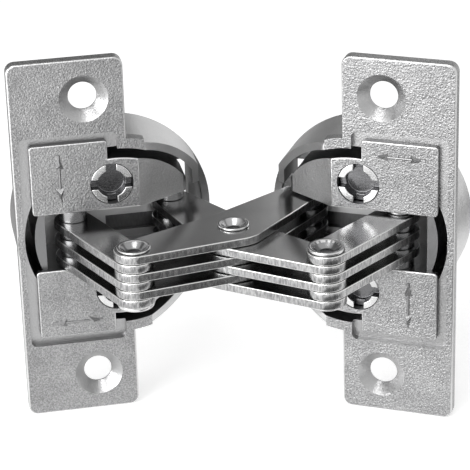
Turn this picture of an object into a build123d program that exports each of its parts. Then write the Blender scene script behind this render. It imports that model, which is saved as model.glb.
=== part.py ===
from build123d import *

import os
from math import atan2, cos, degrees, hypot, radians, sin, sqrt, tan

# Concealed hinge: two adjustable cup leaves joined by a stack of crossing links on seven pivots.
# The origin is the centre of the left leaf's screw pattern, on the back of its plate.
# X runs across the left plate towards the other leaf, +Y runs into the cup and +Z is along the pivots.
# The right leaf is the left one after half a turn about the front-to-back line through the centre rivet.

# Leaf plate
plate_width = 19.4
plate_height = 65.0
plate_thickness = 2.0
plate_corner = 1.6
plate_edge = 0.35
screw_from_outer = 12.6
screw_spacing = 51.2
screw_hole = 4.8
countersink = 8.3

# Cup behind the plate
cup_diameter = 35.0
cup_from_outer = 17.6
cup_depth = 13.5
cup_wall = 1.3
cup_floor = 1.2
ear_length = 3.0
ear_wall = 1.8
relief_angle = 31.0
chord_wall = 1.2
chord_bar = 2.1
back_ring = 2.0
see_through = 2.2
floor_web = 1.2

# Carrier with its two blocks and noses
cup_gap = 1.7
recess_margin = 1.2
recess_gap = 1.7
recess_depth = 1.2
recess_corner = 1.0
flange_width = 13.2
flange_height = 35.6
flange_corner = 0.6
face_width = 18.3
face_edge = 0.25
nose_angle = 29.0
nose_half_height = 7.35
nose_wall = 0.75
nose_round = 1.5
carrier_floor = 0.9
outer_wall = 0.85
slot_height = 3.0
slot_length = 9.6
slot_from_tip = 4.0
key_width = 1.8
key_end = 1.5

# Adjusting screws and cross slide
side_travel = 0.8
height_travel = 1.2
adjuster_diameter = 7.2
adjuster_stem = 4.0
adjuster_head = 3.0
adjuster_length = 9.0
adjuster_from_outer = 16.6
adjuster_height = 9.9
cross_width = 1.7
cross_depth = 1.5
well_diameter = 4.9
well_depth = 2.2
guide_width = 19.0
guide_height = 16.4

# Link stack
crank_length = 19.8
crank_angle = 67.0
opening_shown = 151.0
link_pivot_depth = 2.6
link_thickness = 1.5
link_pitch = 1.6
link_end = 3.3
hub_radius = 5.6
pin_diameter = 3.6
pin_cover = 0.9
rivet_diameter = 4.2
spacer_diameter = 4.8

# Rivet ends
centre_head = 5.3
flush_head = 5.6
flared_head = 6.1
head_rise = 0.4
flare_rise = 0.6
dish_wall = 0.45
dish_depth = 1.1
dish_bottom = 2.6

# Clearances
pin_clearance = 0.05
slide_clearance = 0.05
screw_clearance = 0.1
link_gap = 0.3
travel_gap = 0.3
swing_gap = 1.7
stack_gap = 0.45

# Layers are counted from the top, and the left arm and link take every second one
layers = 6
left_layers = range(2, layers + 1, 2)
stack_height = link_pitch * layers
stack_face = stack_height / 2 - (link_pitch - link_thickness) / 2
cavity = stack_height / 2 + stack_gap

# Cup and carrier fit round each other with the adjusting travel between them
cup_radius = cup_diameter / 2
cup_bore = cup_radius - cup_wall
carrier_radius = cup_bore - cup_gap
floor_front = cup_depth - cup_floor
carrier_back = floor_front - slide_clearance
carrier_inside = carrier_back - carrier_floor
ear_tip = plate_width + ear_length
flange_outer = recess_margin + recess_gap
flange_inner = flange_outer + flange_width
face_inner = flange_outer + face_width
wall_inner = cup_from_outer - sqrt(carrier_radius**2 - cavity**2) + outer_wall
nose_tip = cup_from_outer + sqrt(carrier_radius**2 - nose_half_height**2)
chord_inner = nose_tip + side_travel + travel_gap
chord_outer = chord_inner + chord_wall
chord_half = sqrt(cup_radius**2 - (chord_outer - cup_from_outer) ** 2)
see_outer = chord_inner - see_through
guide_inner = see_outer - floor_web - slide_clearance
guide_outer = guide_inner - guide_width
beyond = cup_from_outer + 2 * cup_radius


def across(from_outer):
    """X of a distance measured from the plate's outer edge."""
    return from_outer - screw_from_outer


# Each leaf holds one side of a parallelogram, so both of its cranks have one length and one angle
link_foot = Vector(across(wall_inner + link_end + swing_gap), link_pivot_depth)
arm_foot = Vector(across(nose_tip - nose_wall - pin_diameter / 2), carrier_inside - link_gap - link_end)
crank = Vector(crank_length * cos(radians(crank_angle)), -crank_length * sin(radians(crank_angle)))
front_pivot = link_foot + crank
crossing = arm_foot + crank
bisector = Vector(cos(radians(opening_shown / 2)), sin(radians(opening_shown / 2)))
half_turn = Axis(crossing, bisector)
opposite_front = crossing * 2 - front_pivot + bisector * (2 * (front_pivot - crossing).dot(bisector))


def slab(sketch, front, back):
    """Prism of a sketch drawn in X and Z, between two depths behind the plate face."""
    return extrude(Plane((0, back, 0), (1, 0, 0), (0, -1, 0)) * sketch, back - front)


def panel(left, right, low, high, front, back):
    """Box between two distances from the outer edge, two heights and two depths."""
    middle = Pos(across((left + right) / 2), (low + high) / 2)
    return slab(middle * Rectangle(right - left, high - low), front, back)


def drum(radius, front, back, from_outer=cup_from_outer, height=0.0):
    """Disc square to the plate, by default on the cup's axis."""
    return slab(Pos(across(from_outer), height) * Circle(radius), front, back)


def wedge(start, angle):
    """Everything in front of a slope that falls from the plate face at a distance from the edge."""
    run = beyond - start
    slope = Polyline((0, 0), (run, run * tan(radians(angle))), (run, -run), (0, -run), close=True)
    return extrude(Pos(across(start), 0, 0) * make_face(slope), plate_height, both=True)


def upright(point, diameter, low, high):
    """Round bar along Z at a plan position."""
    return extrude(Pos(point.X, point.Y, low) * Circle(diameter / 2), high - low)


def layer_height(layer):
    """Middle of a link layer."""
    return ((layers + 1) / 2 - layer) * link_pitch


def turned(part):
    """The same piece on the other leaf."""
    return part.rotate(half_turn, 180)


def make_housing():
    """Flange plate and cup, cast in one piece."""
    middle = Pos(across(plate_width / 2), 0)
    plate = slab(middle * RectangleRounded(plate_width, plate_height, plate_corner), 0, plate_thickness)
    plate = fillet(plate.faces().sort_by(Axis.Y)[0].edges(), plate_edge)
    ears = drum(cup_bore + ear_wall, 0, plate_thickness) & panel(
        cup_from_outer, ear_tip, -plate_height, plate_height, 0, plate_thickness
    )
    body = plate + drum(cup_radius, 0, cup_depth) + ears

    # Only the rim at the back stays round beyond the chord, and the front falls away from the ears
    body = body - wedge(ear_tip, relief_angle)
    body = body - panel(chord_outer, beyond, -cup_radius, cup_radius, -1, cup_depth - back_ring)
    chord = body & panel(chord_inner, chord_outer, -cup_radius, cup_radius, 0, floor_front)
    links_pass = stack_face + height_travel + travel_gap
    chord = chord - panel(chord_inner, chord_outer, -links_pass, links_pass, 0, floor_front - chord_bar)
    body = body - drum(cup_bore, -1, floor_front) + chord

    # Stepped recess that the carrier's flange lies in
    recess_width = flange_width + 2 * recess_gap
    recess_height = flange_height + 2 * (height_travel + travel_gap)
    recess = Pos(across(flange_outer + flange_width / 2), 0) * RectangleRounded(
        recess_width, recess_height, recess_corner
    )
    body = body - slab(recess, -1, recess_depth)

    # Windows in the cup floor, one for the cross slide and one beside the nose
    window_half = guide_height / 2 + height_travel + travel_gap
    body = body - panel(
        guide_outer - slide_clearance,
        guide_inner + slide_clearance,
        -window_half,
        window_half,
        carrier_inside,
        cup_depth + 1,
    )
    see_half = chord_half - cup_wall
    body = body - panel(see_outer, chord_inner, -see_half, see_half, carrier_inside, cup_depth + 1)

    # Countersunk screw holes
    sink = (countersink - screw_hole) / 2
    for height in (screw_spacing / 2, -screw_spacing / 2):
        body = body - drum(screw_hole / 2, -1, plate_thickness + 1, screw_from_outer, height)
        body = body - Pos(0, sink / 2, height) * Rot(90, 0, 0) * Cone(screw_hole / 2, countersink / 2, sink)
    return body


def make_guide_plate():
    """Cross slide in the cup floor, with the slot that the carrier's key runs in."""
    plate = panel(guide_outer, guide_inner, -guide_height / 2, guide_height / 2, floor_front, cup_depth)
    key_half = key_width / 2 + slide_clearance
    slot = panel(
        guide_outer + key_end, guide_inner - key_end, -key_half, key_half, carrier_inside, cup_depth + 1
    )
    return plate - slot


def make_block():
    """Upper block of the carrier: flange, body in the cup and nose."""
    flange = panel(flange_outer, flange_inner, cavity, flange_height / 2, 0, recess_depth - slide_clearance)
    flange = fillet(flange.edges().filter_by(Axis.Y), flange_corner)
    zone = panel(flange_outer, nose_tip, cavity, cup_radius, 0, carrier_back)
    body = drum(carrier_radius, 0, carrier_back) & zone
    block = flange + body - wedge(face_inner, nose_angle)
    tip = block.edges().filter_by(Axis.Z).filter_by_position(
        Axis.X, across(nose_tip) - 0.01, across(nose_tip) + 0.01
    )
    block = fillet(tip.sort_by(Axis.Y)[0], nose_round)
    block = fillet(block.faces().sort_by(Axis.Y)[0].edges(), face_edge)

    # Seat of the adjusting screw
    head = adjuster_diameter / 2 + screw_clearance
    stem = adjuster_stem / 2 + screw_clearance
    block = block - drum(head, -1, adjuster_head + screw_clearance, adjuster_from_outer, adjuster_height)
    return block - drum(stem, 0, adjuster_length + screw_clearance, adjuster_from_outer, adjuster_height)


def pin_reach(foot):
    """Half length of a pin, which stays covered by the round side of the carrier."""
    offset = abs(foot.X - across(cup_from_outer)) + pin_diameter / 2
    return sqrt(carrier_radius**2 - offset**2) - pin_cover


def make_carrier():
    """Upper and lower blocks joined by the back and the outer wall, cast in one piece."""
    block = make_block()
    disc = drum(carrier_radius, recess_depth, carrier_back)
    wall = disc & panel(0, wall_inner, -cavity, cavity, recess_depth, carrier_back)
    back = disc & panel(0, nose_tip, -cavity, cavity, carrier_inside, carrier_back)
    slot_inner = nose_tip - slot_from_tip
    for side in (1, -1):
        middle = side * (key_width + slot_height) / 2
        back = back - panel(
            slot_inner - slot_length,
            slot_inner,
            middle - slot_height / 2,
            middle + slot_height / 2,
            0,
            cup_depth,
        )
    key_margin = key_end + side_travel + travel_gap
    key = panel(
        guide_outer + key_margin,
        guide_inner - key_margin,
        -key_width / 2,
        key_width / 2,
        carrier_back,
        cup_depth,
    )
    body = block + mirror(block, Plane.XY) + wall + back + key
    for foot in (link_foot, arm_foot):
        reach = pin_reach(foot) + pin_clearance
        body = body - upright(foot, pin_diameter + 2 * pin_clearance, -reach, reach)
    return body


def make_adjuster(height):
    """Adjusting screw whose head has a round well and a cross slot out to its rim."""
    head = drum(adjuster_diameter / 2, 0, adjuster_head, adjuster_from_outer, height)
    stem = drum(adjuster_stem / 2, adjuster_head, adjuster_length, adjuster_from_outer, height)
    past_rim = 2 * adjuster_diameter
    arms = Rectangle(past_rim, cross_width) + Rectangle(cross_width, past_rim)
    cross = slab(Pos(across(adjuster_from_outer), height) * arms, -1, cross_depth)
    return head + stem - cross - drum(well_diameter / 2, -1, well_depth, adjuster_from_outer, height)


def make_pin(foot):
    """Plain pin across the cavity, seated in both blocks."""
    reach = pin_reach(foot)
    return upright(foot, pin_diameter, -reach, reach)


def make_spacers(foot):
    """Sleeves on a pin that keep its link plates in their layers."""
    faces = [cavity]
    for layer in left_layers:
        faces.append(layer_height(layer) + link_thickness / 2)
        faces.append(layer_height(layer) - link_thickness / 2)
    faces.append(-cavity)
    sleeves = []
    for high, low in zip(faces[::2], faces[1::2]):
        bore = upright(foot, pin_diameter + 2 * pin_clearance, low, high)
        sleeves.append(upright(foot, spacer_diameter, low + slide_clearance, high - slide_clearance) - bore)
    return Compound(sleeves)


def tapered(start, start_radius, end, end_radius):
    """Outline of a bar with round ends of two radii."""
    run = hypot(end.X - start.X, end.Y - start.Y)
    heading = degrees(atan2(end.Y - start.Y, end.X - start.X))
    lean = (start_radius - end_radius) / run
    rise = sqrt(1 - lean**2)
    sides = Polyline(
        (start_radius * lean, start_radius * rise),
        (run + end_radius * lean, end_radius * rise),
        (run + end_radius * lean, -end_radius * rise),
        (start_radius * lean, -start_radius * rise),
        close=True,
    )
    bar = make_face(sides) + Circle(start_radius) + Pos(run, 0) * Circle(end_radius)
    return Pos(start.X, start.Y) * Rot(0, 0, heading) * bar


def link_plate(outline, layer, bores):
    """Stamped plate in one layer, bored for its pins and rivets."""
    low = layer_height(layer) - link_thickness / 2
    plate = extrude(Pos(0, 0, low) * outline, link_thickness)
    for point, diameter in bores:
        plate = plate - upright(point, diameter + 2 * pin_clearance, low - 1, low + link_thickness + 1)
    return plate


def make_arm_plate(layer):
    """Long arm from the left leaf's arm pin past the centre rivet to the other leaf's front rivet."""
    near = tapered(crossing, hub_radius, arm_foot, link_end)
    far = tapered(crossing, hub_radius, opposite_front, link_end)
    bores = [(arm_foot, pin_diameter), (crossing, rivet_diameter), (opposite_front, rivet_diameter)]
    return link_plate(near + far, layer, bores)


def make_link_plate(layer):
    """Short link from the left leaf's link pin to its front rivet."""
    outline = tapered(link_foot, link_end, front_pivot, link_end)
    return link_plate(outline, layer, [(link_foot, pin_diameter), (front_pivot, rivet_diameter)])


def rivet_half(point, diameter, rise):
    """Upper half of a rivet, with a dished end that stands on the top face of the stack."""
    foot = stack_face + slide_clearance
    top = foot + rise
    body = upright(point, rivet_diameter, 0, foot) + upright(point, diameter, foot, top)
    cone = Cone(dish_bottom / 2, diameter / 2 - dish_wall, dish_depth)
    return body - Pos(point.X, point.Y, top - dish_depth / 2) * cone


def make_rivet(point, top, top_rise, bottom, bottom_rise):
    """Rivet through the whole stack with two formed ends."""
    return rivet_half(point, top, top_rise) + mirror(rivet_half(point, bottom, bottom_rise), Plane.XY)


leaf_pieces = {
    "housing": make_housing(),
    "guide_plate": make_guide_plate(),
    "carrier": make_carrier(),
    "height_screw": make_adjuster(adjuster_height),
    "side_screw": make_adjuster(-adjuster_height),
    "arm_pin": make_pin(arm_foot),
    "link_pin": make_pin(link_foot),
    "arm_spacers": make_spacers(arm_foot),
    "link_spacers": make_spacers(link_foot),
    "front_rivet": make_rivet(front_pivot, flush_head, head_rise, flared_head, flare_rise),
}
for number, layer in enumerate(left_layers, start=1):
    leaf_pieces[f"arm_plate_{number}"] = make_arm_plate(layer)
    leaf_pieces[f"link_plate_{number}"] = make_link_plate(layer)

# The leaf is drawn from the face of its plate, and the back of the plate goes to the origin
to_seat = Pos(0, -plate_thickness, 0)
pieces = {"centre_rivet": to_seat * make_rivet(crossing, centre_head, head_rise, centre_head, head_rise)}
for name, piece in leaf_pieces.items():
    pieces[f"left_{name}"] = to_seat * piece
    pieces[f"right_{name}"] = to_seat * turned(piece)

os.makedirs("parts", exist_ok=True)
for name, piece in pieces.items():
    export_step(piece, f"parts/{name}.step")

for name, point in {
    "link pin": link_foot,
    "arm pin": arm_foot,
    "front rivet": front_pivot,
    "centre rivet": crossing,
    "other front rivet": opposite_front,
}.items():
    print(name, round(point.X, 4), round(point.Y - plate_thickness, 4))
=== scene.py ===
import logging
import math
from abc import ABC, abstractmethod
from dataclasses import dataclass, field
from enum import Enum
from functools import partial
from typing import Callable, ClassVar, Sequence

import bmesh
import bpy
from mathutils import Matrix, Vector


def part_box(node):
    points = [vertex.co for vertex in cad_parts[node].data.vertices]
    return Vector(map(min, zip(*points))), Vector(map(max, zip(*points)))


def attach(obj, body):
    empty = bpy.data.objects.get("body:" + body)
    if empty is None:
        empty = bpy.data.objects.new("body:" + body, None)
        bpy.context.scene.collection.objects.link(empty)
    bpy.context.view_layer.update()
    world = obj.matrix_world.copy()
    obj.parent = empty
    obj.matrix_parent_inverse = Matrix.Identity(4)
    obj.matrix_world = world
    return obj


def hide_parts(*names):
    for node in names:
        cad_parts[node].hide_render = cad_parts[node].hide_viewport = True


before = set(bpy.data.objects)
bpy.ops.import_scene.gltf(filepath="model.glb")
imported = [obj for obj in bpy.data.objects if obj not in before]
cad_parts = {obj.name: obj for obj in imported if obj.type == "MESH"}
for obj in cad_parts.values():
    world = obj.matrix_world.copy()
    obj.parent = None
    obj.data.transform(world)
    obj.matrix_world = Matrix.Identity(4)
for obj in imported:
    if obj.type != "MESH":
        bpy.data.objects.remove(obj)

log = logging.getLogger("hinge")

MM = 0.001
WHITE = (1.0, 1.0, 1.0, 1.0)
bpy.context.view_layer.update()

Face = bpy.types.MeshPolygon
Socket = bpy.types.NodeSocket
Colour = tuple[float, float, float]
Place = tuple[float, float, float]
Line = tuple[tuple[float, float], tuple[float, float]]


class Side(Enum):
    """The two leaves of the hinge."""

    LEFT = "left"
    RIGHT = "right"


class Finish(Enum):
    """Material slots of the hinge's finishes."""

    CASTING = "satin_casting"
    SCREW = "screw_steel"
    GUIDE = "guide_steel"
    LINK = "link_steel"
    PIN = "pin_steel"


class Mask(Enum):
    """Values from 0 to 1 that a face carries: a pattern, which on turned steel and on the slide is
    painted shade; polish with a painted highlight on rounded edges; and a darkening, which is painted
    shade in the castings' hollows and recesses.
    """

    PATTERN = "pattern_and_shade_mask"
    POLISH_AND_HIGHLIGHT = "edge_polish_and_highlight"
    SHADE = "deep_shade"


def middle_of(node: str) -> Vector:
    """Middle of a CAD node at rest, in metres."""
    low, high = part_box(node)
    return (low + high) / 2


@dataclass(frozen=True)
class LeafFrame:
    """Where a leaf's face lies: its middle in metres and its directions across, up and out."""

    middle: Vector
    across: Vector
    up: Vector
    out: Vector

    def matrix(self) -> Matrix:
        """Place of the face.

        Returns:
            The matrix that takes a drawing in the face's plane to its place, in metres.
        """
        turn = Matrix((self.across, self.up, self.out)).transposed()
        return Matrix.Translation(self.middle) @ turn.to_4x4()

    def facing(self, direction: Vector) -> Vector:
        """A direction in the leaf's own terms: across, up and out."""
        return Vector((direction.dot(self.across), direction.dot(self.up), direction.dot(self.out)))

    def local(self, point: Vector) -> Vector:
        """A point in the leaf's own terms, in millimetres from the middle of its face."""
        return self.facing(point - self.middle) / MM


@dataclass(frozen=True)
class HingePlan:
    """Plan of the hinge at rest, in millimetres and degrees, with the arms' crossing in metres."""

    plate_thickness: float = 2.0
    screw_from_outer: float = 12.6
    screw_spacing: float = 51.2
    cup_from_outer: float = 17.6
    opening: float = 151.0
    crossing: Vector = field(default_factory=partial(middle_of, "centre_rivet"))

    def half_turned(self, direction: Vector) -> Vector:
        """A direction after half a turn about the line that halves the opening.

        Args:
            direction: direction in the frame of the part.

        Returns:
            The same direction on the other leaf.
        """
        angle = math.radians(self.opening / 2)
        bisector = Vector((math.cos(angle), math.sin(angle), 0))
        return bisector * (2 * direction.dot(bisector)) - direction

    def leaf(self, side: Side) -> LeafFrame:
        """Face of one leaf.

        Args:
            side: the leaf.

        Returns:
            The frame of its front face, with the middle of its screw pattern as origin.
        """
        middle = Vector((0, -self.plate_thickness, 0)) * MM
        across, up, out = Vector((1, 0, 0)), Vector((0, 0, 1)), Vector((0, -1, 0))
        if side is Side.RIGHT:
            middle = self.crossing + self.half_turned(middle - self.crossing)
            across, up, out = (self.half_turned(direction) for direction in (across, up, out))
        return LeafFrame(middle, across, up, out)


class NodeTree:
    """Adds and joins the nodes of one tree."""

    def __init__(self, tree: bpy.types.NodeTree) -> None:
        """Starts from a tree, whose nodes are kept."""
        self.tree = tree

    def add(self, kind: str, inputs: dict | None = None, **settings: object) -> bpy.types.Node:
        """Adds a node.

        Args:
            kind: Blender's name of the node type.
            inputs: values or sockets for its inputs, by name or number.
            settings: properties of the node.

        Returns:
            The node.
        """
        node = self.tree.nodes.new(kind)
        for key, value in settings.items():
            setattr(node, key, value)
        for key, value in (inputs or {}).items():
            if isinstance(value, Socket):
                self.join(value, node.inputs[key])
            else:
                node.inputs[key].default_value = value
        return node

    def find(self, kind: str) -> bpy.types.Node:
        """First node of a type."""
        return next(node for node in self.tree.nodes if node.type == kind)

    def join(self, source: Socket, target: Socket) -> None:
        """Links an output to an input."""
        self.tree.links.new(source, target)

    def math(self, operation: str, first: object, second: object = 0.0) -> Socket:
        """Result of an operation on two values or sockets."""
        return self.add("ShaderNodeMath", {0: first, 1: second}, operation=operation).outputs[0]

    def weighted(self, *terms: tuple[Socket, float]) -> Socket:
        """Sum of sockets, each times its weight.

        Args:
            terms: each socket with its weight.

        Returns:
            The sum.
        """
        total, *others = (self.math("MULTIPLY", socket, weight) for socket, weight in terms)
        for term in others:
            total = self.math("ADD", total, term)
        return total

    def span(
        self, value: Socket, low: float, high: float, start: float = 0.0, end: float = 1.0
    ) -> Socket:
        """A value brought from start and end to low and high, and held between them."""
        inputs = {"Value": value, "From Min": start, "From Max": end, "To Min": low, "To Max": high}
        return self.add("ShaderNodeMapRange", inputs).outputs["Result"]

    def noise(self, place: Socket, scale: object, **inputs: float) -> Socket:
        """Noise at a place, with its further inputs in lower case."""
        named = {name.capitalize(): value for name, value in inputs.items()}
        return self.add("ShaderNodeTexNoise", {"Vector": place, "Scale": scale, **named}).outputs[0]

    def mask(self, mask: Mask) -> Socket:
        """Value of a mask on the mesh."""
        return self.add("ShaderNodeAttribute", attribute_name=mask.value).outputs["Fac"]

    def effect(self, group: bpy.types.NodeTree, inputs: dict[str, object]) -> dict[str, Socket]:
        """Outputs of a shared shader group, by name."""
        return dict(self.add("ShaderNodeGroup", inputs, node_tree=group).outputs.items())


@dataclass(frozen=True)
class Effect(ABC):
    """A shader group that several finishes share, on Object coordinates, with scales per metre."""

    label: ClassVar[str]
    inputs: ClassVar[dict[str, float]]
    outputs: ClassVar[tuple[str, ...]]

    @abstractmethod
    def draw(self, tree: NodeTree, place: Socket, source: dict[str, Socket]) -> Sequence[Socket]:
        """Adds the pattern's nodes.

        Args:
            tree: helper of the group.
            place: Object coordinates.
            source: the group's inputs, by name.

        Returns:
            One socket for each output.
        """

    def group(self) -> bpy.types.NodeTree:
        """Builds the group.

        Returns:
            The group, with its named sockets joined.
        """
        group = bpy.data.node_groups.new(self.label, "ShaderNodeTree")
        for name, value in self.inputs.items():
            socket = group.interface.new_socket(name, in_out="INPUT", socket_type="NodeSocketFloat")
            socket.default_value = value
        for name in self.outputs:
            group.interface.new_socket(name, in_out="OUTPUT", socket_type="NodeSocketFloat")
        tree = NodeTree(group)
        place = tree.add("ShaderNodeTexCoord").outputs["Object"]
        source = dict(tree.add("NodeGroupInput").outputs.items())
        result = tree.add("NodeGroupOutput")
        for name, socket in zip(self.outputs, self.draw(tree, place, source)):
            tree.join(socket, result.inputs[name])
        return group


@dataclass(frozen=True)
class CastGrain(Effect):
    """Fine blasted grain of a plated casting, with a cloudy change of tone."""

    label: ClassVar[str] = "cast grain"
    inputs: ClassVar[dict[str, float]] = {"Mask": 1.0, "Scale": 2400.0}
    outputs: ClassVar[tuple[str, ...]] = ("Height", "Tone")
    detail: float = 2.0
    roughness: float = 0.55
    pit_scale: float = 0.72
    cloud_scale: float = 210.0
    fine_height: float = 0.7
    pit_height: float = 0.45
    cloud_height: float = 0.6
    least_height: float = 0.05
    fine_tone: float = 0.8
    cloud_tone: float = 0.2
    tone_range: tuple[float, float] = (0.36, 0.64)

    def draw(self, tree: NodeTree, place: Socket, source: dict[str, Socket]) -> Sequence[Socket]:
        """Adds the grain's nodes.

        Args:
            tree: helper of the group.
            place: Object coordinates.
            source: the mask and the scale.

        Returns:
            The height, which is low where the mask is, and the tone.
        """
        fine = tree.noise(place, source["Scale"], detail=self.detail, roughness=self.roughness)
        pit_scale = tree.math("MULTIPLY", source["Scale"], self.pit_scale)
        pits = tree.add(
            "ShaderNodeTexVoronoi", {"Vector": place, "Scale": pit_scale}, feature="SMOOTH_F1"
        ).outputs["Distance"]
        cloud = tree.noise(place, self.cloud_scale, detail=self.detail)
        rough = tree.weighted((fine, self.fine_height), (pits, self.pit_height))
        masked = tree.math("MULTIPLY", rough, tree.span(source["Mask"], self.least_height, 1.0))
        height = tree.math("ADD", masked, tree.math("MULTIPLY", cloud, self.cloud_height))
        tone = tree.weighted((fine, self.fine_tone), (cloud, self.cloud_tone))
        return height, tree.span(tone, 0.0, 1.0, *self.tone_range)


@dataclass(frozen=True)
class HandlingWear(Effect):
    """Soft smudges and sparse fine scratches of handled steel."""

    label: ClassVar[str] = "handling wear"
    inputs: ClassVar[dict[str, float]] = {"Smudge scale": 160.0, "Scratch scale": 900.0}
    outputs: ClassVar[tuple[str, ...]] = ("Smudge", "Scratch")
    smudge_detail: float = 4.0
    smudge_bend: float = 0.6
    smudge_range: tuple[float, float] = (0.3, 0.7)
    scratch_turn: float = 0.6
    scratch_stretch: Place = (0.08, 1.6, 1.6)
    scratch_detail: float = 2.0
    scratch_range: tuple[float, float] = (0.62, 0.74)

    def draw(self, tree: NodeTree, place: Socket, source: dict[str, Socket]) -> Sequence[Socket]:
        """Adds the wear's nodes.

        Args:
            tree: helper of the group.
            place: Object coordinates.
            source: the two scales.

        Returns:
            The smudges and the scratches.
        """
        cloud = tree.noise(
            place, source["Smudge scale"], detail=self.smudge_detail, distortion=self.smudge_bend
        )
        turn = {"Rotation": (0.0, 0.0, self.scratch_turn), "Scale": self.scratch_stretch}
        slanted = tree.add("ShaderNodeMapping", {"Vector": place, **turn}).outputs[0]
        marks = tree.noise(slanted, source["Scratch scale"], detail=self.scratch_detail)
        smudge = tree.span(cloud, 0.0, 1.0, *self.smudge_range)
        return smudge, tree.span(marks, 0.0, 1.0, *self.scratch_range)


@dataclass(frozen=True)
class DrawnLines(Effect):
    """Fine lines that run up and down a cut edge or round a turned pin."""

    label: ClassVar[str] = "drawn lines"
    inputs: ClassVar[dict[str, float]] = {"Along": 900.0, "Upright": 5200.0}
    outputs: ClassVar[tuple[str, ...]] = ("Height",)
    detail: float = 3.0

    def draw(self, tree: NodeTree, place: Socket, source: dict[str, Socket]) -> Sequence[Socket]:
        """Adds the lines' nodes.

        Args:
            tree: helper of the group.
            place: Object coordinates.
            source: the scales along the plates and upright.

        Returns:
            The height.
        """
        parts = tree.add("ShaderNodeSeparateXYZ", {"Vector": place}).outputs
        scales = {"X": source["Along"], "Y": source["Along"], "Z": source["Upright"]}
        scaled = {axis: tree.math("MULTIPLY", parts[axis], scale) for axis, scale in scales.items()}
        stretched = tree.add("ShaderNodeCombineXYZ", scaled).outputs[0]
        return (tree.noise(stretched, 1.0, detail=self.detail),)


class EffectLibrary:
    """The shared shader groups, each built once."""

    def __init__(self) -> None:
        """Builds the groups."""
        self.grain = CastGrain().group()
        self.wear = HandlingWear().group()
        self.lines = DrawnLines().group()


def plain_material(name: str) -> tuple[bpy.types.Material, NodeTree, bpy.types.Node]:
    """Material with its one shader.

    Args:
        name: name of the material.

    Returns:
        The material, its node helper and its shader.
    """
    material = bpy.data.materials.new(name)
    material.use_nodes = True
    tree = NodeTree(material.node_tree)
    return material, tree, tree.find("BSDF_PRINCIPLED")


@dataclass(frozen=True)
class MetalFinish(ABC):
    """A metal between two tones and two roughnesses, with a relief in millimetres."""

    slot: Finish
    dark: Colour
    light: Colour
    smooth: float
    rough: float
    relief: float

    @abstractmethod
    def draw(self, tree: NodeTree, effects: EffectLibrary) -> tuple[Socket, Socket, Socket]:
        """Adds the pattern's nodes.

        Args:
            tree: helper of the material.
            effects: the shared shader groups.

        Returns:
            The share of the light tone, the share of the rough side and the height.
        """

    def tint(self, tree: NodeTree, share: Socket) -> Socket:
        """Blends the two tones.

        Args:
            tree: helper of the material.
            share: 0 for the dark tone and 1 for the light one.

        Returns:
            The colour.
        """
        mix = tree.add("ShaderNodeMix", {0: share}, data_type="RGBA")
        first, second = (socket for socket in mix.inputs if socket.type == "RGBA")
        first.default_value = (*self.dark, 1.0)
        second.default_value = (*self.light, 1.0)
        return next(socket for socket in mix.outputs if socket.type == "RGBA")

    def make(self, effects: EffectLibrary) -> bpy.types.Material:
        """Builds the material.

        Args:
            effects: the shared shader groups.

        Returns:
            The material.
        """
        material, tree, shader = plain_material(self.slot.value)
        shader.inputs["Metallic"].default_value = 1.0
        tone, dullness, height = self.draw(tree, effects)
        tree.join(self.tint(tree, tone), shader.inputs["Base Color"])
        tree.join(tree.span(dullness, self.smooth, self.rough), shader.inputs["Roughness"])
        relief = {"Height": height, "Strength": 1.0, "Distance": self.relief * MM}
        tree.join(tree.add("ShaderNodeBump", relief).outputs["Normal"], shader.inputs["Normal"])
        return material


@dataclass(frozen=True)
class CastFinish(MetalFinish):
    """Satin nickel on a zinc casting: grained faces, smooth slopes, edges lightened as a painted
    highlight, and hollows darkened as painted shade.
    """

    grain_scale: float = 3900.0
    grain_low: float = 0.13
    grain_tone: float = 0.45
    # Lightness of the painted highlight on polished edges.
    edge_tone: float = 0.85
    wall_tone: float = 0.98
    wall_cloud: float = 0.18
    # Share of the tone that the painted shade takes away where the shade mask is full.
    painted_shade_strength: float = 0.97
    smudge_scale: float = 130.0
    grain_dullness: float = 0.6
    smudge_dullness: float = 0.4
    polish_gloss: float = 0.4

    def draw(self, tree: NodeTree, effects: EffectLibrary) -> tuple[Socket, Socket, Socket]:
        """Adds the casting's nodes.

        Args:
            tree: helper of the material.
            effects: the shared shader groups.

        Returns:
            The share of the light tone, the share of the rough side and the height.
        """
        mask, polish_and_highlight, shade = (tree.mask(name) for name in (Mask.PATTERN, Mask.POLISH_AND_HIGHLIGHT, Mask.SHADE))
        grain = tree.effect(effects.grain, {"Scale": self.grain_scale, "Mask": mask})
        smudge = tree.effect(effects.wear, {"Smudge scale": self.smudge_scale})["Smudge"]
        cloudy = tree.span(smudge, self.wall_tone - self.wall_cloud, self.wall_tone)
        wall = tree.math("MULTIPLY", tree.math("SUBTRACT", 1.0, mask), cloudy)
        speckle = tree.span(grain["Tone"], self.grain_low, self.grain_tone)
        faces = tree.math("ADD", tree.math("MULTIPLY", speckle, mask), wall)
        # Painted highlight: the polish mask lightens rounded edges in colour; it also makes them
        # glossier.
        bright = tree.math("MAXIMUM", faces, tree.math("MULTIPLY", polish_and_highlight, self.edge_tone))
        # Painted shade: the shade mask darkens recesses, walls and hollows.
        lit = tree.math("SUBTRACT", 1.0, tree.math("MULTIPLY", shade, self.painted_shade_strength))
        dullness = tree.weighted(
            (mask, self.grain_dullness), (smudge, self.smudge_dullness), (polish_and_highlight, -self.polish_gloss)
        )
        return tree.math("MULTIPLY", bright, lit), dullness, grain["Height"]


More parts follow.
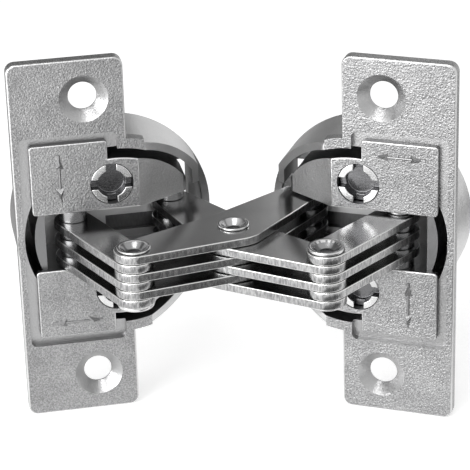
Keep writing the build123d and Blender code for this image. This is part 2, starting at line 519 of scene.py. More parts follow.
@dataclass(frozen=True)
class StampedFinish(MetalFinish):
    """Plated steel plate: smudged flats, rims lightened as a painted highlight, and cut edges with
    upright lines.
    """

    edge_lines: float = 3000.0
    upright_lines: float = 900.0
    line_range: tuple[float, float] = (0.36, 0.64)
    edge_low: float = 0.22
    edge_tone: float = 0.48
    flat_tone: float = 0.0
    cloud_tone: float = 0.16
    smudge_scale: float = 110.0
    smudge_dullness: float = 0.3
    edge_dullness: float = 0.7
    flat_lines: float = 0.04
    scratch_height: float = 0.03

    def draw(self, tree: NodeTree, effects: EffectLibrary) -> tuple[Socket, Socket, Socket]:
        """Adds the plate's nodes.

        Args:
            tree: helper of the material.
            effects: the shared shader groups.

        Returns:
            The share of the light tone, the share of the rough side and the height.
        """
        mask, polish_and_highlight = (tree.mask(name) for name in (Mask.PATTERN, Mask.POLISH_AND_HIGHLIGHT))
        wear = tree.effect(effects.wear, {"Smudge scale": self.smudge_scale})
        scales = {"Along": self.edge_lines, "Upright": self.upright_lines}
        lines = tree.effect(effects.lines, scales)["Height"]
        cloud = tree.math("MULTIPLY", wear["Smudge"], self.cloud_tone)
        flats = tree.math("ADD", cloud, tree.span(mask, self.flat_tone, 0.0))
        streaks = tree.span(lines, self.edge_low, self.edge_tone, *self.line_range)
        plain = tree.math("ADD", flats, tree.math("MULTIPLY", mask, streaks))
        dullness = tree.weighted((wear["Smudge"], self.smudge_dullness), (mask, self.edge_dullness))
        cut = tree.math("MULTIPLY", lines, tree.span(mask, self.flat_lines, 1.0))
        scratches = tree.math("MULTIPLY", wear["Scratch"], self.scratch_height)
        # Painted highlight: the polish mask lifts rims to the light tone.
        return tree.math("MAXIMUM", plain, polish_and_highlight), dullness, tree.math("ADD", cut, scratches)


@dataclass(frozen=True)
class TurnedFinish(MetalFinish):
    """Bright turned or headed steel with fine rings, darkened as painted shade where the mask marks a
    hollow.
    """

    rings: float = 5200.0
    along: float = 700.0
    smudge_scale: float = 420.0
    smudge_tone: float = 0.78
    # Share of the tone that the painted shade takes away in hollows.
    painted_shade_strength: float = 0.9
    ring_height: float = 0.7
    scratch_height: float = 0.3

    def draw(self, tree: NodeTree, effects: EffectLibrary) -> tuple[Socket, Socket, Socket]:
        """Adds the turned steel's nodes.

        Args:
            tree: helper of the material.
            effects: the shared shader groups.

        Returns:
            The share of the light tone, the share of the rough side and the height.
        """
        wear = tree.effect(effects.wear, {"Smudge scale": self.smudge_scale})
        lines = tree.effect(effects.lines, {"Along": self.along, "Upright": self.rings})["Height"]
        # Painted shade: the mask darkens screw slots, pins and rivet dishes.
        hollow = tree.math("MULTIPLY", tree.mask(Mask.PATTERN), self.painted_shade_strength)
        smudged = tree.span(wear["Smudge"], self.smudge_tone, 1.0)
        tone = tree.math("MULTIPLY", smudged, tree.math("SUBTRACT", 1.0, hollow))
        height = tree.weighted((lines, self.ring_height), (wear["Scratch"], self.scratch_height))
        return tone, lines, height


class Palette:
    """All finishes of the hinge, made once."""

    def __init__(self) -> None:
        """Builds the shared groups and one material for each slot."""
        finishes = (
            CastFinish(
                Finish.CASTING,
                dark=(0.12, 0.12, 0.123),
                light=(0.76, 0.76, 0.76),
                smooth=0.28,
                rough=0.45,
                relief=0.16,
            ),
            TurnedFinish(
                Finish.SCREW,
                dark=(0.1, 0.1, 0.105),
                light=(0.72, 0.72, 0.72),
                smooth=0.18,
                rough=0.34,
                relief=0.006,
            ),
            # The guide's dark tone, which its front takes, is painted shade inside the cup.
            StampedFinish(
                Finish.GUIDE,
                dark=(0.07, 0.07, 0.072),
                light=(0.6, 0.6, 0.6),
                smooth=0.28,
                rough=0.4,
                relief=0.012,
            ),
            StampedFinish(
                Finish.LINK,
                dark=(0.16, 0.16, 0.164),
                light=(0.7, 0.7, 0.695),
                smooth=0.2,
                rough=0.27,
                relief=0.009,
                edge_low=0.02,
                edge_tone=0.42,
                flat_tone=0.31,
            ),
            TurnedFinish(
                Finish.PIN,
                dark=(0.12, 0.12, 0.125),
                light=(0.7, 0.7, 0.7),
                smooth=0.16,
                rough=0.32,
                relief=0.006,
            ),
        )
        effects = EffectLibrary()
        self.materials = {finish.slot: finish.make(effects) for finish in finishes}

    def __getitem__(self, slot: Finish) -> bpy.types.Material:
        """Material of a slot."""
        return self.materials[slot]


@dataclass
class Piece:
    """One finished mesh with its body, its slot and the nodes that it stands for."""

    thing: bpy.types.Object
    body: str
    slot: Finish
    nodes: tuple[str, ...] = ()

    def place(self, palette: Palette) -> None:
        """Dresses the mesh and hands it to its body.

        Args:
            palette: the finishes.
        """
        mesh = self.thing.data
        mesh.materials.clear()
        mesh.materials.append(palette[self.slot])
        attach(self.thing, self.body)
        if self.nodes:
            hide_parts(*self.nodes)
        log.info("%s on %s: %d faces", self.thing.name, self.body, len(mesh.polygons))


class Workshop:
    """Turns CAD nodes and drawings into plain meshes at the origin, in millimetres and degrees."""

    weld: ClassVar[float] = 0.002
    flat_angle: ClassVar[float] = 0.6
    sharp_angle: ClassVar[float] = 32.0
    bevel_steps: ClassVar[int] = 2
    old_shading: ClassVar[tuple[str, ...]] = ("custom_normal", "sharp_edge", "sharp_face")

    @staticmethod
    def show(name: str, mesh: bpy.types.Mesh) -> bpy.types.Object:
        """Puts a mesh in the scene.

        Args:
            name: name of the new object.
            mesh: its mesh.

        Returns:
            The object, at the origin.
        """
        thing = bpy.data.objects.new(name, mesh)
        bpy.context.scene.collection.objects.link(thing)
        return thing

    @staticmethod
    def settle(thing: bpy.types.Object) -> None:
        """Applies every modifier of an object to its mesh.

        Args:
            thing: the object.
        """
        bpy.context.view_layer.update()
        graph = bpy.context.evaluated_depsgraph_get()
        mesh = bpy.data.meshes.new_from_object(thing.evaluated_get(graph), depsgraph=graph)
        thing.modifiers.clear()
        old = thing.data
        thing.data = mesh
        mesh.name = thing.name
        bpy.data.meshes.remove(old)

    @classmethod
    def cleaned(cls, node: str) -> bpy.types.Mesh:
        """Copy of a CAD node's mesh with its flat faces whole and its old shading removed.

        Args:
            node: name of the node.

        Returns:
            The new mesh.
        """
        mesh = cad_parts[node].data.copy()
        form = bmesh.new()
        form.from_mesh(mesh)
        bmesh.ops.remove_doubles(form, verts=form.verts, dist=cls.weld * MM)
        limit = math.radians(cls.flat_angle)
        bmesh.ops.dissolve_limit(
            form, angle_limit=limit, verts=form.verts, edges=form.edges, delimit={"NORMAL"}
        )
        form.to_mesh(mesh)
        form.free()
        for layer in list(mesh.attributes):
            if layer.name in cls.old_shading:
                mesh.attributes.remove(layer)
        mesh.polygons.foreach_set("use_smooth", [True] * len(mesh.polygons))
        return mesh

    @classmethod
    def softened(cls, node: str, edge: float) -> bpy.types.Object:
        """Copy of a CAD node with its edges rounded a little.

        Args:
            node: name of the node.
            edge: width of the rounded edges, in millimetres.

        Returns:
            The new object, with its place in its mesh.
        """
        thing = cls.show(f"{node}_form", cls.cleaned(node))
        bevel = thing.modifiers.new("rounded edges", "BEVEL")
        bevel.width = edge * MM
        bevel.segments = cls.bevel_steps
        bevel.limit_method = "ANGLE"
        bevel.angle_limit = math.radians(cls.sharp_angle)
        bevel.use_clamp_overlap = True
        bevel.miter_outer = "MITER_ARC"
        weight = thing.modifiers.new("flat faces", "WEIGHTED_NORMAL")
        weight.keep_sharp = True
        cls.settle(thing)
        return thing

    @staticmethod
    def mark(thing: bpy.types.Object, rule: Callable[[Face], float], mask: Mask = Mask.PATTERN) -> None:
        """Writes a mask on each face.

        Args:
            thing: object with a plain mesh.
            rule: gives the mask of a face, from 0 to 1.
            mask: which mask.
        """
        mesh = thing.data
        values = [rule(face) for face in mesh.polygons]
        layer = mesh.attributes.new(mask.value, "FLOAT", "FACE")
        layer.data.foreach_set("value", values)


class GeometryTree(NodeTree):
    """Geometry Nodes that turn points or lines into dressed meshes, with named inputs for their sizes."""

    def __init__(self, name: str, sizes: Sequence[str]) -> None:
        """Starts a tree with its sockets.

        Args:
            name: name of the tree.
            sizes: names of the inputs for sizes.
        """
        super().__init__(bpy.data.node_groups.new(name, "GeometryNodeTree"))
        interface = self.tree.interface
        interface.new_socket("Geometry", in_out="INPUT", socket_type="NodeSocketGeometry")
        for size in sizes:
            interface.new_socket(size, in_out="INPUT", socket_type="NodeSocketFloat")
        interface.new_socket("Material", in_out="INPUT", socket_type="NodeSocketMaterial")
        interface.new_socket("Geometry", in_out="OUTPUT", socket_type="NodeSocketGeometry")
        self.source = dict(self.add("NodeGroupInput").outputs.items())

    def circle(self, points: int, radius: object) -> Socket:
        """Round curve."""
        inputs = {"Resolution": points, "Radius": radius}
        return self.add("GeometryNodeCurvePrimitiveCircle", inputs).outputs[0]

    def tube(self, path: Socket, profile: Socket) -> Socket:
        """Mesh of a profile that runs along a path."""
        return self.add("GeometryNodeCurveToMesh", {"Curve": path, "Profile Curve": profile}).outputs[0]

    def close(self, geometry: Socket) -> None:
        """Ends the tree with plain and dressed geometry.

        Args:
            geometry: all that the tree has drawn.
        """
        plain = self.add("GeometryNodeRealizeInstances", {"Geometry": geometry}).outputs[0]
        dress = {"Geometry": plain, "Material": self.source["Material"]}
        dressed = self.add("GeometryNodeSetMaterial", dress).outputs[0]
        self.join(dressed, self.add("NodeGroupOutput").inputs["Geometry"])

    def grow(self, thing: bpy.types.Object, values: dict[str, object]) -> None:
        """Runs the tree on an object and leaves the result as its plain mesh.

        Args:
            thing: object with the points or lines.
            values: values of the named inputs.
        """
        modifier = thing.modifiers.new(self.tree.name, "NODES")
        modifier.node_group = self.tree
        for item in self.tree.interface.items_tree:
            if item.in_out == "INPUT" and item.name in values:
                modifier[item.identifier] = values[item.name]
        Workshop.settle(thing)


@dataclass
class Casting(ABC):
    """What the castings of a leaf share: the masks of their faces, with depths in millimetres."""

    side: Side
    plan: HingePlan
    edge: float = 0.2
    edge_polish_and_highlight: float = 1.0
    edge_depth: float = 0.45
    face_depth: float = 0.12
    back_depth: float = 9.0
    flat: float = 0.97
    slant: float = 0.2
    leaf: LeafFrame = field(init=False)

    def __post_init__(self) -> None:
        """Works out the face of the casting's leaf."""
        self.leaf = self.plan.leaf(self.side)

    @abstractmethod
    def grain(self, face: Face) -> float:
        """Grain of a face, from 0 to 1."""

    @abstractmethod
    def shade(self, face: Face) -> float:
        """Shade of a face, from 0 to 1."""

    def facing(self, face: Face) -> Vector:
        """Direction of a face in the leaf's own terms."""
        return self.leaf.facing(face.normal)

    def depth(self, face: Face) -> float:
        """Depth of a face behind the leaf's front face."""
        return -self.leaf.local(face.center).z

    def on_front(self, face: Face) -> bool:
        """Whether a face lies in the leaf's front face."""
        return self.facing(face).z > self.flat and self.depth(face) < self.face_depth

    def polish_and_highlight(self, face: Face) -> float:
        """Polish and painted highlight of a face: only on the rounded edges at the front and far back.

        Args:
            face: a face of the casting.

        Returns:
            The polish and painted highlight, from 0 to 1.
        """
        slanted = self.slant < self.facing(face).z < self.flat
        between = self.edge_depth < self.depth(face) < self.back_depth
        return self.edge_polish_and_highlight if slanted and not between else 0.0

    def cast(self, node: str) -> Piece:
        """Builds the casting with its masks.

        Args:
            node: the CAD node, which shares its name with its body.

        Returns:
            The finished casting.
        """
        thing = Workshop.softened(node, self.edge)
        Workshop.mark(thing, self.grain)
        Workshop.mark(thing, self.polish_and_highlight, Mask.POLISH_AND_HIGHLIGHT)
        Workshop.mark(thing, self.shade, Mask.SHADE)
        return Piece(thing, node, Finish.CASTING, (node,))


@dataclass
class Housing(Casting):
    """Flange plate and cup of one leaf, with the slide in its floor."""

    edge_polish_and_highlight: float = 0.42
    recess_depth: float = 1.2
    sink_radius: float = 4.3
    side_grain: float = 0.85
    back_grain: float = 0.5
    recess_grain: float = 0.3
    sink_grain: float = 0.25
    cup_grain: float = 0.2
    outer_shade: float = 0.08
    sink_shade: float = 0.4
    recess_shade: float = 0.45
    wall_shade: float = 0.7
    rearward: float = -0.5
    outward: float = 0.2
    slide_edge: float = 0.1
    # Tones of the slide's back and front; the dark front is painted shade inside the cup.
    slide_back: float = 0.9
    slide_front: float = 0.15

    def in_screw_hole(self, place: Vector) -> bool:
        """Whether a point in the leaf's own terms lies in a screw hole or its countersink."""
        return math.hypot(place.x, abs(place.y) - self.plan.screw_spacing / 2) < self.sink_radius

    def in_recess(self, place: Vector) -> bool:
        """Whether a point in the leaf's own terms lies no deeper than the recess."""
        return -place.z < self.recess_depth + self.face_depth

    def polish_and_highlight(self, face: Face) -> float:
        """Polish and painted highlight of a face, with the screw holes left dull."""
        return 0.0 if self.in_screw_hole(self.leaf.local(face.center)) else super().polish_and_highlight(face)

    def grain(self, face: Face) -> float:
        """Grain of a face: full on the plate, faint in the recess and on the cup.

        Args:
            face: a face of the casting.

        Returns:
            The grain, from 0 to 1.
        """
        if self.on_front(face):
            return 1.0
        place, facing = self.leaf.local(face.center), self.facing(face)
        if self.in_screw_hole(place):
            return self.sink_grain
        upright = abs(facing.z) < self.slant and -place.z < self.plan.plate_thickness
        if upright and place.xy.dot(facing.xy) > 0:
            return self.side_grain
        if facing.z < -self.flat:
            return self.back_grain
        return self.recess_grain if self.in_recess(place) else self.cup_grain

    def shade(self, face: Face) -> float:
        """Shade of a face: little outside, some in the recess and more inside the cup.

        Args:
            face: a face of the casting.

        Returns:
            The shade, from 0 to 1.
        """
        if self.on_front(face) or self.polish_and_highlight(face):
            return 0.0
        place, facing = self.leaf.local(face.center), self.facing(face)
        if self.in_screw_hole(place):
            return self.sink_shade
        cup_middle = self.plan.cup_from_outer - self.plan.screw_from_outer
        spoke = Vector((place.x - cup_middle, place.y)).normalized()
        if facing.z <= self.rearward or facing.xy.dot(spoke) >= self.outward:
            return self.outer_shade
        return self.recess_shade if self.in_recess(place) else self.wall_shade

    def slide_shading(self, face: Face) -> float:
        """Tone of the slide, with painted shade: pale at the back and dark inside the cup."""
        return self.slide_back if self.facing(face).z < -self.flat else self.slide_front

    def build(self) -> list[Piece]:
        """Builds the casting and the slide.

        Returns:
            The pieces of this leaf's housing.
        """
        name = self.side.value
        shell = self.cast(f"{name}_housing")
        node = f"{name}_guide_plate"
        slide = Workshop.softened(node, self.slide_edge)
        Workshop.mark(slide, self.slide_shading)
        Workshop.mark(slide, self.polish_and_highlight, Mask.POLISH_AND_HIGHLIGHT)
        return [shell, Piece(slide, f"{name}_guide", Finish.GUIDE, (node,))]


@dataclass
class ArrowMarks:
    """Raised double arrows on a carrier's face, one for each adjusting screw, in millimetres.

    An arrow runs between two points, across from the plate's outer edge and up from its middle.
    """

    # A three-sided cone of radius 1 is 1.5 long and the root of 3 wide, with its tip on X
    cone_length: ClassVar[float] = 1.5
    cone_width: ClassVar[float] = math.sqrt(3.0)
    plan: HingePlan
    height_arrow: Line = ((7.85, 7.45), (7.85, 15.95))
    side_arrow: Line = ((5.1, -15.25), (13.85, -15.25))
    head_length: float = 2.5
    head_width: float = 1.5
    head_rise: float = 0.8
    shaft_radius: float = 0.27
    shaft_sides: int = 4
    sink: float = 0.03
    grain: float = 0.35
    tone_loss: float = 0.62
    tree: GeometryTree = field(init=False)

    def __post_init__(self) -> None:
        """Builds the tree that both leaves use."""
        self.tree = self.node_tree()

    def head(self, tree: GeometryTree) -> Socket:
        """Draws an arrow's head as a three-sided cone with its tip at the origin, along X.

        Args:
            tree: the tree, with inputs for the head's sizes.

        Returns:
            The head.
        """
        cone = {"Vertices": 3, "Radius Top": 0.0, "Radius Bottom": 1.0, "Depth": 1.0}
        mesh = tree.add("GeometryNodeMeshCone", cone).outputs["Mesh"]
        tip = {"Geometry": mesh, "Translation": (-1.0, 0.0, 0.0)}
        moved = tree.add("GeometryNodeTransform", tip).outputs[0]
        size = {
            "X": tree.math("DIVIDE", tree.source["Head length"], self.cone_length),
            "Y": tree.math("DIVIDE", tree.source["Head width"], self.cone_width),
            "Z": tree.source["Head rise"],
        }
        scale = tree.add("ShaderNodeCombineXYZ", size).outputs[0]
        return tree.add("GeometryNodeTransform", {"Geometry": moved, "Scale": scale}).outputs[0]

    def node_tree(self) -> GeometryTree:
        """Tree that draws a double arrow along each edge of a mesh.

        Returns:
            The tree, with named inputs for the sizes.
        """
        tree = GeometryTree("double arrows", ("Head length", "Head width", "Head rise", "Shaft radius"))
        line = tree.add("GeometryNodeMeshToCurve", {"Mesh": tree.source["Geometry"]}).outputs[0]
        parts = [tree.tube(line, tree.circle(self.shaft_sides, tree.source["Shaft radius"]))]
        head = self.head(tree)
        ahead = tree.add("GeometryNodeInputTangent").outputs[0]
        back = {0: ahead, "Scale": -1.0}
        behind = tree.add("ShaderNodeVectorMath", back, operation="SCALE").outputs[0]
        for heading, first, last in ((behind, 1, 0), (ahead, 0, 1)):
            chosen = tree.add("GeometryNodeCurveEndpointSelection", {0: first, 1: last}).outputs[0]
            turn = tree.add(
                "FunctionNodeAlignRotationToVector", {"Vector": heading}, axis="X", pivot_axis="Z"
            ).outputs[0]
            inputs = {"Points": line, "Selection": chosen, "Instance": head, "Rotation": turn}
            parts.append(tree.add("GeometryNodeInstanceOnPoints", inputs).outputs[0])
        joined = tree.add("GeometryNodeJoinGeometry")
        for part in parts:
            tree.join(part, joined.inputs[0])
        tree.close(joined.outputs[0])
        return tree

    def build(self, side: Side, palette: Palette) -> Piece:
        """Builds both arrows of one carrier.

        Args:
            side: the leaf.
            palette: the finishes.

        Returns:
            The arrows, as one piece.
        """
        outer = self.plan.screw_from_outer
        points = [
            Vector((across - outer, up, -self.sink)) * MM
            for across, up in (*self.height_arrow, *self.side_arrow)
        ]
        mesh = bpy.data.meshes.new("arrow lines")
        mesh.from_pydata(points, [(0, 1), (2, 3)], [])
        thing = Workshop.show(f"{side.value}_arrows", mesh)
        values = {
            "Head length": self.head_length * MM,
            "Head width": self.head_width * MM,
            "Head rise": self.head_rise * MM,
            "Shaft radius": self.shaft_radius * MM,
            "Material": palette[Finish.CASTING],
        }
        self.tree.grow(thing, values)
        thing.data.transform(self.plan.leaf(side).matrix())
        thing.data.update()
        Workshop.mark(thing, lambda face: self.grain)
        Workshop.mark(thing, lambda face: self.tone_loss, Mask.SHADE)
        return Piece(thing, f"{side.value}_carrier", Finish.CASTING)


@dataclass
class Carrier(Casting):
    """Blocks and noses of one leaf, with its pins, sleeves and adjusting screws."""

    edge: float = 0.14
    nose_slope: float = 0.8
    nose_grain: float = 0.5
    wall_grain: float = 0.1
    wall_shade: float = 0.88
    back_shade: float = 0.3
    pins: tuple[str, ...] = ("arm_pin", "link_pin", "arm_spacers", "link_spacers")
    pin_edge: float = 0.1
    pin_shade: float = 0.7
    screws: tuple[str, ...] = ("height_screw", "side_screw")
    screw_edge: float = 0.14
    screw_well: float = 0.3

    def on_nose(self, face: Face) -> bool:
        """Whether a face lies on the slope of a nose."""
        return self.nose_slope < self.facing(face).z < self.flat

    def grain(self, face: Face) -> float:
        """Grain of a face: full on the two block faces, half on the noses, faint elsewhere.

        Args:
            face: a face of the casting.

        Returns:
            The grain, from 0 to 1.
        """
        if self.on_front(face):
            return 1.0
        return self.nose_grain if self.on_nose(face) else self.wall_grain

    def shade(self, face: Face) -> float:
        """Shade of a face: none on the blocks and noses, a little far back, more on the walls.

        Args:
            face: a face of the casting.

        Returns:
            The shade, from 0 to 1.
        """
        depth = self.depth(face)
        if depth < self.edge_depth or self.on_nose(face) or self.polish_and_highlight(face):
            return 0.0
        far_back = depth > self.back_depth and self.facing(face).z > self.nose_slope
        return self.back_shade if far_back else self.wall_shade

    def hollow(self, face: Face) -> float:
        """Painted shade: full in a screw's slots and well, and nothing on its face."""
        return 1.0 if self.depth(face) > self.screw_well else 0.0

    def build(self) -> list[Piece]:
        """Builds the casting, the pins with their sleeves and the screws.

        Returns:
            The pieces of this leaf's carrier.
        """
        name = self.side.value
        body = f"{name}_carrier"
        pieces = [self.cast(body)]
        for part in self.pins:
            node = f"{name}_{part}"
            pin = Workshop.softened(node, self.pin_edge)
            # Painted shade on the pins and sleeves, through the pattern mask.
            Workshop.mark(pin, lambda face: self.pin_shade)
            pieces.append(Piece(pin, body, Finish.PIN, (node,)))
        for part in self.screws:
            node = f"{name}_{part}"
            screw = Workshop.softened(node, self.screw_edge)
            Workshop.mark(screw, self.hollow)
            pieces.append(Piece(screw, node, Finish.SCREW, (node,)))
        return pieces


@dataclass
class LinkStack:
    """Arm and link plates that belong to one leaf."""

    side: Side
    kinds: tuple[str, ...] = ("arm", "link")
    layers: tuple[int, ...] = (1, 2, 3)
    edge: float = 0.16
    upright: float = 0.3
    flat: float = 0.97

    def cut_edge(self, face: Face) -> float:
        """Full on the cut sides of a plate and nothing on its flats."""
        return 1.0 if abs(face.normal.z) < self.upright else 0.0

    def rim(self, face: Face) -> float:
        """Full on the rounded rims between the flats and the cut sides, which it lightens as a painted
        highlight.
        """
        return 1.0 if self.upright <= abs(face.normal.z) < self.flat else 0.0

    def build(self) -> list[Piece]:
        """Builds the plates.

        Returns:
            Three arm plates and three link plates.
        """
        pieces = []
        for kind in self.kinds:
            body = f"{self.side.value}_{kind}"
            for layer in self.layers:
                node = f"{body}_plate_{layer}"
                plate = Workshop.softened(node, self.edge)
                Workshop.mark(plate, self.cut_edge)
                Workshop.mark(plate, self.rim, Mask.POLISH_AND_HIGHLIGHT)
                pieces.append(Piece(plate, body, Finish.LINK, (node,)))
        return pieces


@dataclass(frozen=True)
class RivetLip:
    """A rounded ring on a rivet's end: its rivet, and its radius and height in millimetres."""

    rivet: str
    radius: float
    height: float

    def middle(self) -> Vector:
        """Middle of the ring, in metres."""
        axis = middle_of(self.rivet)
        return Vector((axis.x, axis.y, self.height * MM))


@dataclass
class Rivets:
    """The three rivets through the stack, with rounded lips on their formed ends, in millimetres.

    Each front rivet has a flush end and a flared end, and the centre rivet has two flush ends.
    """

    edge: float = 0.13
    dish_radius: float = 2.2
    floor_radius: float = 1.5
    cone_shade: float = 0.74
    centre_shade: float = 0.5
    floor_shade: float = 0.95
    flat: float = 0.97
    outward: float = 0.1
    centre_lip: float = 2.42
    flush_lip: float = 2.55
    flush_height: float = 5.0
    flared_lip: float = 2.66
    flared_height: float = 5.18
    flared_foot: float = 2.82
    foot_height: float = 4.98
    lip_share: float = 0.06
    lip_points: int = 72
    lip_sides: int = 12

    def node_tree(self) -> GeometryTree:
        """Tree that puts a ring on each point, as large as the point's radius.

        Returns:
            The tree, with a named input for the ring's thickness as a share of its radius.
        """
        tree = GeometryTree("rivet lips", ("Thickness",))
        profile = tree.circle(self.lip_sides, tree.source["Thickness"])
        ring = tree.tube(tree.circle(self.lip_points, 1.0), profile)
        smooth = tree.add("GeometryNodeSetShadeSmooth", {"Geometry": ring}).outputs[0]
        named = tree.add("GeometryNodeInputNamedAttribute", {"Name": "radius"}, data_type="FLOAT")
        inputs = {"Points": tree.source["Geometry"], "Instance": smooth, "Scale": named.outputs[0]}
        tree.close(tree.add("GeometryNodeInstanceOnPoints", inputs).outputs[0])
        return tree

    def dish(self, face: Face, axis: Vector, cone_shade: float) -> float:
        """Shade of a face: most on the floor of a dished end, some on its cone, none on rim and shank.

        Args:
            face: a face of the rivet.
            axis: the rivet's middle, in metres.
            cone_shade: shade of the dish's cone.

        Returns:
            The shade, from 0 to 1.
        """
        spoke = (face.center - axis).xy
        radius = spoke.length / MM
        outward = face.normal.xy.dot(spoke.normalized()) >= self.outward
        if outward or radius > self.dish_radius:
            return 0.0
        floor = radius < self.floor_radius and abs(face.normal.z) > self.flat
        return self.floor_shade if floor else cone_shade

    def front_lips(self, rivet: str, flush_side: int) -> list[RivetLip]:
        """Lips of a front rivet.

        Args:
            rivet: its CAD node.
            flush_side: 1 where its flush end is on top, and -1 where it is below.

        Returns:
            One lip on the flush end and two on the flared end.
        """
        return [
            RivetLip(rivet, self.flush_lip, flush_side * self.flush_height),
            RivetLip(rivet, self.flared_lip, -flush_side * self.flared_height),
            RivetLip(rivet, self.flared_foot, -flush_side * self.foot_height),
        ]

    def lips(self, body: str, rings: Sequence[RivetLip], tree: GeometryTree, palette: Palette) -> Piece:
        """Builds the lips of one body.

        Args:
            body: the body that they ride on.
            rings: the lips.
            tree: the tree that draws them.
            palette: the finishes.

        Returns:
            The lips, as one piece.
        """
        mesh = bpy.data.meshes.new(f"{body}_lips")
        mesh.from_pydata([ring.middle() for ring in rings], [], [])
        layer = mesh.attributes.new("radius", "FLOAT", "POINT")
        layer.data.foreach_set("value", [ring.radius * MM for ring in rings])
        thing = Workshop.show(f"{body}_lips", mesh)
        tree.grow(thing, {"Thickness": self.lip_share, "Material": palette[Finish.PIN]})
        return Piece(thing, body, Finish.PIN)

    def build(self, palette: Palette) -> list[Piece]:
        """Builds the rivets and their lips.

        Args:
            palette: the finishes.

        Returns:
            The rivets, and the lips of each arm.
        """
        centre, left, right = "centre_rivet", "left_front_rivet", "right_front_rivet"
        rivets = (
            (centre, "right_arm", self.centre_shade),
            (left, "right_arm", self.cone_shade),
            (right, "left_arm", self.cone_shade),
        )
        pieces = []
        for node, body, shade in rivets:
            rivet = Workshop.softened(node, self.edge)
            Workshop.mark(rivet, partial(self.dish, axis=middle_of(node), cone_shade=shade))
            pieces.append(Piece(rivet, body, Finish.PIN, (node,)))
        heights = (self.flush_height, -self.flush_height)
        centre_lips = [RivetLip(centre, self.centre_lip, height) for height in heights]
        tree = self.node_tree()
        pieces.append(self.lips("right_arm", centre_lips + self.front_lips(left, 1), tree, palette))
        pieces.append(self.lips("left_arm", self.front_lips(right, -1), tree, palette))
        return pieces


@dataclass(frozen=True)
class Softbox:
    """A square lamp: its place, aim and side in millimetres, and its power in watts."""

    name: str
    place: Place
    aim: Place
    side: float
    power: float


@dataclass(frozen=True)
class Flag:
    """A grey card that only reflections see: its middle, facing and size in millimetres."""

    name: str
    middle: Place
    facing: Place
    width: float
    height: float
    grey: float


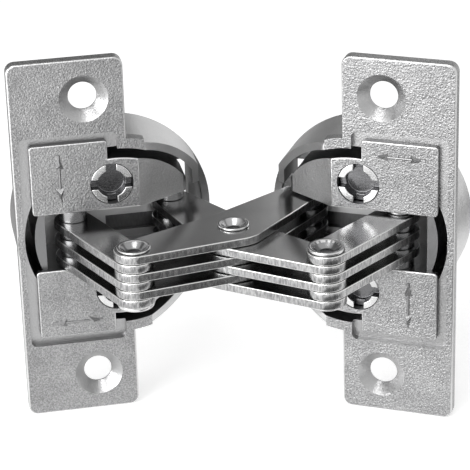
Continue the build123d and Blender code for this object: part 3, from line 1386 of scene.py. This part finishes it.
@dataclass
class Studio:
    """Floor, light and camera, in millimetres and degrees, with the focal length in pixels."""

    floor_height: float = -32.6
    floor_side: float = 6000.0
    floor_white: float = 0.86
    floor_roughness: float = 0.9
    floor_lift: float = 0.55
    ambient: float = 0.42
    camera_place: Place = (-38.18, -351.53, 160.83)
    yaw: float = 10.216
    pitch: float = 24.623
    roll: float = -1.649
    focal_pixels: float = 2268.0
    image_side: float = 470.0
    sensor: float = 36.0
    clip_start: float = 10.0
    lamps: tuple[Softbox, ...] = (
        Softbox("key light", (-375.0, -275.0, 70.0), (30.0, -15.0, 0.0), 380.0, 2.9),
        Softbox("top light", (-120.0, -260.0, 420.0), (20.0, -10.0, 0.0), 260.0, 0.8),
    )
    flags: tuple[Flag, ...] = (
        Flag("back_flag", (-285.0, 330.0, 240.0), (0.0, -1.0, 0.0), 770.0, 560.0, 0.28),
        Flag("top_flag", (0.0, 425.0, 520.0), (0.0, 0.0, -1.0), 2000.0, 650.0, 0.3),
        Flag("front_card", (65.0, -90.0, -31.6), (0.0, 0.0, 1.0), 100.0, 90.0, 0.2),
        Flag("back_card", (30.0, 130.0, -31.6), (0.0, 0.0, 1.0), 320.0, 180.0, 0.38),
    )

    @staticmethod
    def seen(tree: NodeTree) -> Socket:
        """Tells the rays that show a surface from those that only light it.

        Args:
            tree: helper of the material or world.

        Returns:
            1 for rays of the camera, of reflections and through glass, and 0 for others.
        """
        path = tree.add("ShaderNodeLightPath").outputs
        direct = tree.math("MAXIMUM", path["Is Camera Ray"], path["Is Glossy Ray"])
        return tree.math("MAXIMUM", direct, path["Is Transmission Ray"])

    @staticmethod
    def sheet(name: str, place: Matrix, width: float, height: float) -> bpy.types.Object:
        """Flat rectangle.

        Args:
            name: name of the object.
            place: where its middle is and how it is turned, in millimetres.
            width: its size along its own X, in millimetres.
            height: its size along its own Y, in millimetres.

        Returns:
            The object, with its place in its mesh.
        """
        signs = ((-1, -1), (1, -1), (1, 1), (-1, 1))
        corners = [place @ Vector((x * width / 2, y * height / 2, 0)) * MM for x, y in signs]
        mesh = bpy.data.meshes.new(name)
        mesh.from_pydata(corners, [], [(0, 1, 2, 3)])
        return Workshop.show(name, mesh)

    def add_world(self) -> None:
        """White surroundings for what is seen, and a plain level of light on the part."""
        world = bpy.data.worlds.new("studio")
        world.use_nodes = True
        bpy.context.scene.world = world
        tree = NodeTree(world.node_tree)
        background = tree.find("BACKGROUND")
        background.inputs["Color"].default_value = WHITE
        tree.join(tree.span(self.seen(tree), self.ambient, 1.0), background.inputs["Strength"])

    def add_floor(self) -> None:
        """Pale floor that keeps the shadow."""
        place = Matrix.Translation((0, 0, self.floor_height))
        floor = self.sheet("floor", place, self.floor_side, self.floor_side)
        material, tree, shader = plain_material("pale floor")
        shader.inputs["Base Color"].default_value = (*(self.floor_white,) * 3, 1.0)
        shader.inputs["Roughness"].default_value = self.floor_roughness
        shader.inputs["Emission Color"].default_value = WHITE
        lift = tree.math("MULTIPLY", self.seen(tree), self.floor_lift)
        tree.join(lift, shader.inputs["Emission Strength"])
        floor.data.materials.append(material)

    def add_lamps(self) -> None:
        """Soft square lamps."""
        for box in self.lamps:
            data = bpy.data.lights.new(box.name, "AREA")
            data.size = box.side * MM
            data.energy = box.power
            lamp = bpy.data.objects.new(box.name, data)
            lamp.location = Vector(box.place) * MM
            ray = Vector(box.aim) - Vector(box.place)
            lamp.rotation_euler = ray.to_track_quat("-Z", "Y").to_euler()
            bpy.context.scene.collection.objects.link(lamp)

    def add_flags(self) -> None:
        """Grey cards that shape the reflections in the metal."""
        for card in self.flags:
            turn = Vector(card.facing).to_track_quat("Z", "Y").to_matrix().to_4x4()
            place = Matrix.Translation(card.middle) @ turn
            thing = self.sheet(card.name, place, card.width, card.height)
            material, _, shader = plain_material(card.name)
            shader.inputs["Base Color"].default_value = (*(card.grey,) * 3, 1.0)
            shader.inputs["Roughness"].default_value = 1.0
            thing.data.materials.append(material)
            thing.visible_camera = False
            thing.visible_diffuse = False
            thing.visible_shadow = False
            thing.visible_transmission = False

    def add_camera(self) -> None:
        """Camera at the photo's place."""
        yaw, pitch, roll = (math.radians(angle) for angle in (self.yaw, self.pitch, self.roll))
        flat = math.cos(pitch)
        ahead = Vector((math.sin(yaw) * flat, math.cos(yaw) * flat, -math.sin(pitch)))
        level = Vector((math.cos(yaw), -math.sin(yaw), 0))
        above = level.cross(ahead)
        right = math.cos(roll) * level + math.sin(roll) * above
        up = -math.sin(roll) * level + math.cos(roll) * above
        data = bpy.data.cameras.new("camera")
        data.sensor_width = self.sensor
        data.lens = self.focal_pixels / self.image_side * self.sensor
        data.clip_start = self.clip_start * MM
        camera = bpy.data.objects.new("camera", data)
        turn = Matrix((right, up, -ahead)).transposed()
        camera.matrix_world = Matrix.Translation(Vector(self.camera_place) * MM) @ turn.to_4x4()
        bpy.context.scene.collection.objects.link(camera)
        bpy.context.scene.camera = camera

    def build(self) -> None:
        """Sets up the whole studio."""
        bpy.context.scene.view_settings.view_transform = "Standard"
        self.add_world()
        self.add_floor()
        self.add_lamps()
        self.add_flags()
        self.add_camera()


def main() -> None:
    """Builds the hinge's pieces in order, dresses them and sets up the studio."""
    logging.basicConfig(level=logging.INFO, format="%(name)s: %(message)s")
    plan = HingePlan()
    palette = Palette()
    arrows = ArrowMarks(plan)
    pieces: list[Piece] = []
    for side in Side:
        pieces += Housing(side, plan).build()
        pieces += Carrier(side, plan).build()
        pieces.append(arrows.build(side, palette))
        pieces += LinkStack(side).build()
    pieces += Rivets().build(palette)
    for piece in pieces:
        piece.place(palette)
    Studio().build()


if __name__ == "__main__":
    main()
